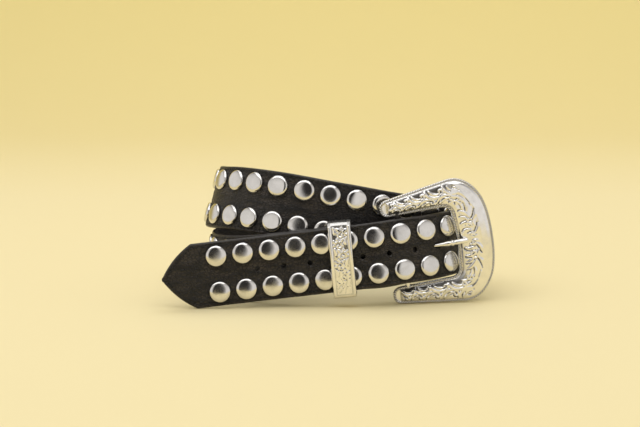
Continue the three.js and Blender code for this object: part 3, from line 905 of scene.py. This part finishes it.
def buildBuckle(material):
    outline, isOuter = buckleOutline()
    loop = list(range(len(outline)))
    found, _, faces, *_ = delaunay_2d_cdt(buckleMeshPoints(outline, isOuter), [], [loop], 1, 1e-5)
    used, faces = np.unique(np.array(faces), return_inverse=True)
    places, faces = np.array([tuple(found[k]) for k in used]), faces.reshape(-1, 3)
    z, recess, toAny = buckleFace(places, outline, isOuter)
    rounded = np.clip(1 - toAny / buckle["edgeWidth"], 0, 1) ** 2
    hollow = buckle["back"] + 1.3 * smooth(toAny, 1.6, 3.4) + 0.35 * rounded
    count = len(places)
    top = np.array([face if isCounterClockwise(places, face) else face[::-1] for face in faces])
    edges = {(a, b) for face in top.tolist() for a, b in zip(face, face[1:] + face[:1])}
    wall = [[b, a, a + count, b + count] for a, b in edges if (b, a) not in edges]
    points = np.concatenate([np.column_stack([places, z]), np.column_stack([places, hollow])])
    shells = Shells()
    shells.add(fromBuckle(points), top.tolist() + (top[:, ::-1] + count).tolist() + wall)
    rings, sides = 9, 20
    along = np.linspace(-1, 1, rings)
    bar = along[:, None] * [0, (buckle["openingWidth"] + buckle["armWidth"]) / 2, 0]
    shells.add(*tube(fromBuckle(bar), [buckle["barRadius"]] * rings, sides))
    # Painted shade: the bar's upper half is painted dark, and the frame's hollow back a little darker at 0.2.
    barShade = np.append(np.repeat(smooth(along, -0.2, 0.2), sides), [0, 0])
    masks = {"recess": np.concatenate([recess, np.full(count, 0.2), barShade])}
    return makeMesh("buckle_cast", shells.allPoints(), shells.faces, [material], masks=masks)


def isCounterClockwise(places, face):
    a, b, c = (places[k] for k in face[:3])
    return (b[0] - a[0]) * (c[1] - a[1]) - (b[1] - a[1]) * (c[0] - a[0]) > 0


def buildProng(material):
    shells = Shells()
    course, share = prongCourse(140)
    fromCollar = np.abs(share - prong["collarAt"])
    collar = prong["collarHeight"] * lineAt(fromCollar, 0, 0.014)
    collar -= prong["collarGroove"] * lineAt(fromCollar, 0.034, 0.01)
    slim = prong["slim"] + (1 - prong["slim"]) * smooth(share, 0.46, 0.72)
    radii = prong["radius"] * (prong["stout"] - prong["taper"] * share) * slim + collar
    radii *= 1 - 0.55 * np.clip((share - 0.985) / 0.015, 0, 1) ** 2  # the tip is rounded off
    shells.add(*tube(fromBuckle(course), radii, 28))
    inner = buckle["barRadius"] + strap["clearance"]
    outer, half = inner + prong["eyeWall"], prong["eyeWidth"] / 2
    profile = [(inner, -half + 0.2), (inner + 0.2, -half), (outer - 0.4, -half), (outer, -half + 0.4)]
    profile += [(radius, -height) for radius, height in reversed(profile)]
    angles = np.linspace(0, 2 * math.pi, prong["eyeSides"], endpoint=False)
    ring = [(radius * math.cos(a), height, radius * math.sin(a)) for a in angles for radius, height in profile]
    shells.add(fromBuckle(ring), gridFaces(prong["eyeSides"], len(profile), True, True))
    return closedMesh("buckle_prong", shells.allPoints(), shells.faces, material)


keeper = {
    "at": 36.5,  # from the heel bar along the strap
    "width": 13.5,
    "wall": 1.5,
    "longer": 1.0,  # than the solid, at each end
    "slack": 0.7,
    "corner": 2.1,
    "bulge": 0.75,  # the front bows forward in the middle and back at the ends
    "rim": 1.7,
    "rimHeight": 0.7,
    "edgeRound": 0.35,
    "reliefHeight": 0.5,
    "cutDepth": 0.25,
    "curlRadius": 2.7,
    "curlPitch": 6.1,
}


# A leafy curl: the scroll and leaves that fan off its back.
def curl(x, y, radius, start, hand, leaves, width):
    strokes = [scrollStroke(x, y, radius, start, 1.15, hand, width)]
    for k in range(leaves):
        angle = start + hand * (14 + 38 * k)
        fromX = x + radius * math.cos(math.radians(angle)) * 0.95
        fromY = y + radius * math.sin(math.radians(angle)) * 0.95
        strokes.append(leafStroke(fromX, fromY, angle - hand * 52, radius * 0.95, hand * 95, width * 1.3))
    return strokes


def keeperStrokes(half):
    strokes = []
    at, hand = -half + 5.4, 1
    while at < half - 4:
        strokes += curl(hand * 0.8, at, keeper["curlRadius"], 90 - hand * 90, hand, 4, 0.55)
        strokes.append(leafStroke(-hand * 3.1, at + 0.6, 90 - hand * 20, 4.6, hand * 60, 0.75))
        at, hand = at + keeper["curlPitch"], -hand
    for end in (1, -1):
        for x, heading in ((-1.6, 118), (0, 90), (1.6, 62)):
            strokes.append(leafStroke(x, end * (half - 5.6), end * heading, 3.6, 0, 0.7))
    return strokes


# A rounded box round the laps, seen along the strap: its points and which way each looks.
def keeperPath(front, back, half):
    corner = keeper["corner"]
    sides = (
        ((front, -half), (front, half), 150),
        ((front, half), (back, half), 16),
        ((back, half), (back, -half), 50),
        ((back, -half), (front, -half), 16),
    )
    path, normals = [], []
    for start, end, count in sides:
        start, end = np.array(start), np.array(end)
        heading = unit(end - start)
        outwards = np.array([heading[1], -heading[0]])
        run = np.linspace(corner, math.hypot(*(end - start)) - corner, count)
        path += [start + heading * step for step in run]
        normals += [outwards] * count
        centre = end - heading * corner - outwards * corner
        for angle in np.linspace(0, math.pi / 2, 8)[1:-1]:
            normals.append(outwards * math.cos(angle) + heading * math.sin(angle))
            path.append(centre + normals[-1] * corner)
    return np.array(path), np.array(normals)


def buildKeeper(material):
    point, along, out, up = spotAt(keeper["at"])
    beyond = trackPoints[trackLengths > strapLength / 2] - point
    near = (np.abs(beyond @ along) < keeper["width"] / 2) & (beyond @ out > strap["thick"])
    wall, rim = keeper["wall"], keeper["rim"]
    front = (beyond @ out)[near].max() + strap["thick"] / 2 + studs["height"] + strap["clearance"] + wall
    back = -strap["thick"] / 2 - strap["clearance"] - wall
    half = strap["width"] / 2 + keeper["slack"] + wall + keeper["longer"]
    path, normals = keeperPath(front, back, half)
    columns = np.linspace(-1, 1, 41) * keeper["width"] / 2
    onFront = (normals[:, 0] > 0.999)[:, None]
    height, across = path[:, 1][:, None] * np.ones_like(columns), columns[None] * np.ones((len(path), 1))
    toSide = keeper["width"] / 2 - np.abs(across)
    inset = np.minimum(half - np.abs(height), toSide)
    rimTop = smooth(inset, 0, 0.5) * (1 - smooth(inset, rim - 0.35, rim + 0.55))
    field = smooth(inset, rim + 0.5, rim + 0.9)
    leaf, cut = (
        part.reshape(height.shape)
        for part in carved(across.ravel(), height.ravel(), keeperStrokes(half - 1.2), 0.3, 0.4)
    )
    worn = field * (0.3 + 0.7 * smooth(height, -0.6 * half, 0.7 * half))  # the relief is flatter lower down
    relief = worn * (keeper["reliefHeight"] * leaf - keeper["cutDepth"] * cut)
    lift = np.where(onFront, keeper["rimHeight"] * rimTop + relief, 0)
    lift = lift - keeper["edgeRound"] * (1 - smooth(toSide, 0, 0.55))
    outer = path[:, None] + normals[:, None] * lift[..., None]
    bulge = keeper["bulge"] * (1 - 2 * (height / half) ** 2)
    outer[..., 0] += bulge * smooth(outer[..., 0], back, front - 0.5)
    inner = np.broadcast_to((path - normals * wall)[:, None], outer.shape)[:, ::-1]
    ring = np.concatenate([outer, inner], axis=1)
    z = np.concatenate([across, across[:, ::-1]], axis=1)
    points = point + out * ring[..., :1] + up * ring[..., 1:] + along * z[..., None]
    # Painted shade: the one-sided cuts and a line inside the rim are painted dark on the front, and the faces
    # that look up are painted darker, most near the keeper's two edges.
    keeperShade = np.where(onFront, 0.9 * worn * cut + 0.4 * lineAt(inset, rim + 0.5, 0.25), 0)
    keeperShade = keeperShade + np.where(normals[:, 1:] > 0.2, 0.3 + 0.3 * smooth(np.abs(across), 4.6, 5.2), 0)
    masks = {"recess": np.concatenate([np.clip(keeperShade, 0, 1), np.zeros_like(keeperShade)], axis=1).ravel()}
    faces = gridFaces(*ring.shape[:2], True, True)
    return closedMesh("keeper_cast", points.reshape(-1, 3), faces, material, masks)


# Materials. Leather grain and the metals' handling marks are groups that several materials share.
def grainGroup():
    group, given, result = newGroup(
        "leatherGrain",
        [("Map", vectorSocket, None), ("Pebble", floatSocket, 720.0), ("Crease", floatSocket, 260.0)],
        [("Height", floatSocket), ("Valley", floatSocket), ("Patch", floatSocket), ("Crease", floatSocket)],
    )
    place = given.outputs["Map"]
    stretched = nodeOf(group, "ShaderNodeMapping", {0: place, 3: (0.62, 1.0, 1.0)}).outputs[0]
    wobble = noiseOf(group, stretched, 700.0, 3.0)["Color"]
    bent = {0: wobble, 1: (0.0009,) * 3, 2: stretched}
    bent = nodeOf(group, "ShaderNodeVectorMath", bent, operation="MULTIPLY_ADD").outputs[0]
    cells = {"Vector": bent, "Scale": given.outputs["Pebble"]}
    pebble = nodeOf(group, "ShaderNodeTexVoronoi", cells, feature="DISTANCE_TO_EDGE").outputs["Distance"]
    rounded = shadeRange(group, pebble, 0.0, 0.16)
    drawn = nodeOf(group, "ShaderNodeMapping", {0: place, 3: (0.3, 1.0, 1.0)}).outputs[0]
    crease = noiseOf(group, drawn, given.outputs["Crease"], 6.0)["Fac"]
    feed(group, result, {
        "Height": shade(group, "ADD", shade(group, "MULTIPLY", rounded, 0.55), crease),
        "Valley": shade(group, "SUBTRACT", 1.0, rounded),
        "Patch": noiseOf(group, place, 38.0, 4.0)["Fac"],
        "Crease": shadeRange(group, crease, 0.38, 0.62),
    })
    return group


def handledGroup():
    group, given, result = newGroup(
        "handledMetal",
        [("Roughness", floatSocket, 0.2), ("Marks", floatSocket, 0.1), ("Scale", floatSocket, 300.0)],
        [("Roughness", floatSocket), ("Height", floatSocket), ("Cloud", floatSocket)],
    )
    place = nodeOf(group, "ShaderNodeTexCoord").outputs["Object"]
    cloud = noiseOf(group, place, given.outputs["Scale"], 5.0)["Fac"]
    spread = shade(group, "MULTIPLY", shade(group, "SUBTRACT", cloud, 0.5), given.outputs["Marks"])
    feed(group, result, {
        "Roughness": shade(
            group, "ADD", given.outputs["Roughness"], shade(group, "MULTIPLY", spread, 2.4), True
        ),
        "Height": noiseOf(group, place, 2600.0, 2.0)["Fac"],
        "Cloud": cloud,
    })
    return group


def newMaterial(name):
    material = bpy.data.materials.new(name)
    material.use_nodes = True
    return material, material.node_tree, material.node_tree.nodes["Principled BSDF"]


def bumpOf(tree, height, strength, distance):
    return nodeOf(
        tree, "ShaderNodeBump", {"Strength": strength, "Distance": distance, "Height": height}
    ).outputs[0]


# Leather's own colour is palest along the edges; the darkening in the valleys of its grain is painted shade.
def leatherMaterial(name, group, dark, light, roughness, bump):
    material, tree, surface = newMaterial(name)
    uv = nodeOf(tree, "ShaderNodeUVMap", uv_map="strapMap").outputs[0]
    grain = nodeOf(tree, "ShaderNodeGroup", node_tree=group)
    tree.links.new(uv, grain.inputs["Map"])
    patch, valley = grain.outputs["Patch"], grain.outputs["Valley"]
    spread = shade(tree, "MULTIPLY", shadeRange(tree, patch, 0.3, 0.7, 0.4, 1.0), grain.outputs["Crease"])
    tone = mixColour(tree, spread, dark, light)
    # Painted shade: the grain's valleys are darkened towards near black.
    tone = mixColour(tree, shade(tree, "MULTIPLY", valley, 0.8), tone, (0.002, 0.0015, 0.0015, 1))
    wear = nodeOf(tree, "ShaderNodeAttribute", attribute_name="wear").outputs["Fac"]
    tone = mixColour(tree, shade(tree, "MULTIPLY", wear, 0.35), tone, (0.07, 0.055, 0.045, 1))
    gloss = shade(tree, "MULTIPLY", shade(tree, "SUBTRACT", patch, 0.5), 0.35)
    gloss = shade(tree, "ADD", shade(tree, "ADD", gloss, roughness), shade(tree, "MULTIPLY", valley, 0.2))
    normal = bumpOf(tree, grain.outputs["Height"], bump, 0.0008)
    feed(tree, surface, {"Base Color": tone, "Roughness": gloss, "Normal": normal})
    feed(tree, surface, {"Specular IOR Level": 0.42, "Coat Roughness": 0.3})
    return material


def metalMaterial(name, group, bright, dull, roughness, marks, scale, recess, bump):
    material, tree, surface = newMaterial(name)
    given = {"Roughness": roughness, "Marks": marks, "Scale": scale}
    handled = nodeOf(tree, "ShaderNodeGroup", given, node_tree=group)
    tone = mixColour(tree, shadeRange(tree, handled.outputs["Cloud"], 0.35, 0.7), bright, dull)
    gloss, metallic = handled.outputs["Roughness"], 1
    # Painted shade: the mask darkens the cuts, grooves, the arms' ground, the frame's back and the keeper's top
    # towards near black.
    if recess:  # darkness in the cuts
        depth = nodeOf(tree, "ShaderNodeAttribute", attribute_name="recess").outputs["Fac"]
        tone = mixColour(tree, shade(tree, "MULTIPLY", depth, recess), tone, (0.022, 0.019, 0.017, 1))
        gloss = shade(tree, "ADD", gloss, shade(tree, "MULTIPLY", depth, 0.25), True)
        metallic = shadeRange(tree, depth, 0.0, 1.0, 1.0, 0.75)
    normal = bumpOf(tree, handled.outputs["Height"], bump, 0.00005)
    feed(tree, surface, {"Base Color": tone, "Roughness": gloss, "Metallic": metallic, "Normal": normal})
    return material


def plainMaterial(name, colour, roughness, scale, bump):
    material, tree, surface = newMaterial(name)
    noise = noiseOf(tree, nodeOf(tree, "ShaderNodeTexCoord").outputs["Object"], scale, 4.0)["Fac"]
    darker = tuple(part * 0.7 for part in colour[:3]) + (1,)
    feed(tree, surface, {
        "Base Color": mixColour(tree, noise, darker, colour),
        "Roughness": shadeRange(tree, noise, 0.3, 0.7, roughness - 0.06, roughness + 0.06),
        "Normal": bumpOf(tree, noise, bump, 0.0002),
    })
    return material


finishes = {
    "blackLeather": {
        "dark": (0.006, 0.005, 0.005, 1), "light": (0.046, 0.037, 0.035, 1),
        "roughness": 0.38, "bump": 1.0,
    },
    "liningLeather": {
        "dark": (0.012, 0.01, 0.009, 1), "light": (0.02, 0.016, 0.015, 1),
        "roughness": 0.6, "bump": 0.4,
    },
    "edgePaint": {"colour": (0.022, 0.018, 0.016, 1), "roughness": 0.42, "scale": 900, "bump": 0.3},
    "waxedThread": {"colour": (0.006, 0.0055, 0.005, 1), "roughness": 0.5, "scale": 3000, "bump": 0.5},
    "castSilver": {
        "bright": (0.86, 0.845, 0.82, 1), "dull": (0.78, 0.765, 0.74, 1),
        # The cast silver takes its painted shade at this strength; the plated studs take none.
        "roughness": 0.15, "marks": 0.1, "scale": 240, "recess": 0.95, "bump": 0.15,
    },
    "platedStud": {
        "bright": (0.74, 0.725, 0.7, 1), "dull": (0.66, 0.645, 0.62, 1),
        "roughness": 0.15, "marks": 0.12, "scale": 160, "recess": 0, "bump": 0.1,
    },
}
grain, handled = grainGroup(), handledGroup()
faceLeather, lining = (
    leatherMaterial(name, grain, **finishes[name]) for name in ("blackLeather", "liningLeather")
)
edgePaint, thread = (plainMaterial(name, **finishes[name]) for name in ("edgePaint", "waxedThread"))
silver, plated = (metalMaterial(name, handled, **finishes[name]) for name in ("castSilver", "platedStud"))
print("materials:", len(finishes))

leatherPiece = buildStrap([faceLeather, edgePaint, lining])
print("strap:", len(leatherPiece.data.polygons), "faces")
stitching = buildStitches(thread)
print("stitching:", len(stitching.data.polygons), "faces")
freeStuds, lapStuds, coveredStuds = (
    buildStuds(name, group, sides, rings, plated)
    for name, group, sides, rings in (
        ("studs_free_end", "free", 56, 14),
        ("studs_upper_lap", "upper", 56, 14),
        ("studs_covered_laps", "covered", 40, 9),
    )
)
print("studs:", sum(len(piece.data.polygons) for piece in (freeStuds, lapStuds, coveredStuds)), "faces")
buckleCast = buildBuckle(silver)
print("buckle:", len(buckleCast.data.polygons), "faces")
buckleProng = buildProng(silver)
keeperCast = buildKeeper(silver)
print("prong and keeper:", len(buckleProng.data.polygons), len(keeperCast.data.polygons), "faces")


def studNodes(first, last):
    return [f"stud_{pair + 1:02d}_{row}" for pair in range(first, last + 1) for row in ("upper", "lower")]


pieces = [
    (leatherPiece, "leather", ["strap"]),
    (stitching, "leather", []),
    (freeStuds, "stud_metal", studNodes(0, studs["freeEndPairs"] - 1)),
    (lapStuds, "stud_metal", studNodes(*studs["upperLapPairs"])),
    (coveredStuds, "stud_metal", []),
    (buckleCast, "cast_metal", ["buckle_frame"]),
    (buckleProng, "cast_metal", ["prong"]),
    (keeperCast, "cast_metal", ["keeper"]),
]
for piece, slot, nodes in pieces:
    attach(piece, "root")
    if nodes:
        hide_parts(*nodes)

# Stage: a paper sweep that is pale below and deeper towards the top, where the deeper tone is painted shade.
stage = {  # metres
    "front": -0.375,
    "bend": 1.1,
    "bendRadius": 0.9,
    "height": 2.4,
    "halfWidth": 2.6,
    "near": (0.8, 0.7, 0.455, 1),
    # The far colour is painted shade: the paper grows darker and deeper towards the top.
    "far": (0.755, 0.63, 0.26, 1),
    "deepens": (0.5, 2.05),
}


def buildSweep(material):
    radius = stage["bendRadius"]
    profile = [(stage["front"], 0.0), (0.0, 0.0), (0.6, 0.0), (stage["bend"], 0.0)]
    for angle in np.linspace(0, math.pi / 2, 20)[1:]:
        profile.append((stage["bend"] + radius * math.sin(angle), radius * (1 - math.cos(angle))))
    profile.append((stage["bend"] + radius, stage["height"]))
    columns = np.linspace(-stage["halfWidth"], stage["halfWidth"], 9)
    points = [(x / mm, y / mm, z / mm) for y, z in profile for x in columns]
    return makeMesh("paper_sweep", points, gridFaces(len(profile), len(columns)), [material])


def paperMaterial():
    material, tree, surface = newMaterial("paper")
    place = nodeOf(tree, "ShaderNodeTexCoord").outputs["Object"]
    depth = nodeOf(tree, "ShaderNodeSeparateXYZ", {0: place}).outputs["Y"]
    # Painted shade: the paper goes from the near colour to the far colour with depth.
    tone = mixColour(tree, shadeRange(tree, depth, *stage["deepens"]), stage["near"], stage["far"])
    feed(tree, surface, {"Base Color": tone, "Roughness": 0.85})
    return material


buildSweep(paperMaterial())

lamps = {
    "light_top": {"place": (-0.25, -0.6, 1.5), "aim": (0, 0.05, 0), "size": (2.6, 1.4), "power": 18.2},
    "light_fill": {"place": (0.1, 0.9, 1.7), "aim": (0, 0.6, 0), "size": (2.4, 1.2), "power": 9},
    "light_back": {"place": (0.8, 0.9, 1.9), "aim": (0, 1.9, 0.4), "size": (2.4, 0.6), "power": 8},
}


def softbox(name, place, aim, size, power):
    light = bpy.data.lights.new(name, "AREA")
    light.shape, light.size, light.size_y = "RECTANGLE", size[0], size[1]
    light.energy = power
    lamp = bpy.data.objects.new(name, light)
    lamp.location = place
    lamp.rotation_euler = (Vector(aim) - Vector(place)).to_track_quat("-Z", "Y").to_euler()
    bpy.context.scene.collection.objects.link(lamp)


for name, settings in lamps.items():
    softbox(name, **settings)

studio = {
    "walls": (0.86, 0.83, 0.8, 1),
    "ceiling": (0.3, 0.285, 0.275, 1),
    "opening": (0.03, 0.028, 0.027, 1),
    "bounce": (0.5, 0.47, 0.31, 1),  # what the yellow paper sends back onto dull things
    "backdrop": (0.86, 0.76, 0.48, 1),
}


# The pale studio round the set, with its dark opening in front, above the camera.
def buildRoom():
    room = bpy.data.worlds.new("room")
    room.use_nodes = True
    tree = room.node_tree
    direction = nodeOf(tree, "ShaderNodeTexCoord").outputs["Generated"]
    parts = nodeOf(tree, "ShaderNodeSeparateXYZ", {0: direction}).outputs
    oval = {0: direction, 1: (3.9, 0, 2.8), 2: (-0.08, 0, -0.5)}
    offset = nodeOf(tree, "ShaderNodeVectorMath", oval, operation="MULTIPLY_ADD").outputs[0]
    reach = nodeOf(tree, "ShaderNodeVectorMath", {0: offset}, operation="LENGTH").outputs["Value"]
    fade = {0: reach, 1: 1.3, 2: 0.75}
    inside = nodeOf(tree, "ShaderNodeMapRange", fade, interpolation_type="SMOOTHSTEP").outputs[0]
    inside = shade(tree, "MULTIPLY", inside, shade(tree, "LESS_THAN", parts["Y"], 0))
    walls = mixColour(tree, shadeRange(tree, parts["Z"], 0.3, 0.75), studio["walls"], studio["ceiling"])
    lit = mixColour(tree, inside, walls, studio["opening"])
    rays = nodeOf(tree, "ShaderNodeLightPath").outputs
    lit = mixColour(tree, rays["Is Diffuse Ray"], lit, studio["bounce"])
    lit = mixColour(tree, rays["Is Camera Ray"], lit, studio["backdrop"])
    feed(tree, tree.nodes["Background"], {"Color": lit})
    return room


bpy.context.scene.world = buildRoom()
bpy.context.scene.view_settings.view_transform = "Standard"
print("stage:", len(lamps), "lamps")

# Camera, at the photograph's view.
view = {"aim": (-5.9, -41.6, 53.5), "distance": 1100, "elevation": 7.075, "pixelsPerMm": 1.708}
photoWidth, sensorWidth = 640, 36.0
camera = bpy.data.objects.new("camera", bpy.data.cameras.new("camera"))
tilt = math.radians(view["elevation"])
camera.location = (
    Vector(view["aim"]) * mm
    + Vector((0, -math.cos(tilt), math.sin(tilt))) * view["distance"] * mm
)
camera.rotation_euler = (math.pi / 2 - tilt, 0, 0)
camera.data.sensor_width = sensorWidth
camera.data.lens = view["pixelsPerMm"] * view["distance"] / photoWidth * sensorWidth
camera.data.clip_start = 0.05
bpy.context.scene.collection.objects.link(camera)
bpy.context.scene.camera = camera
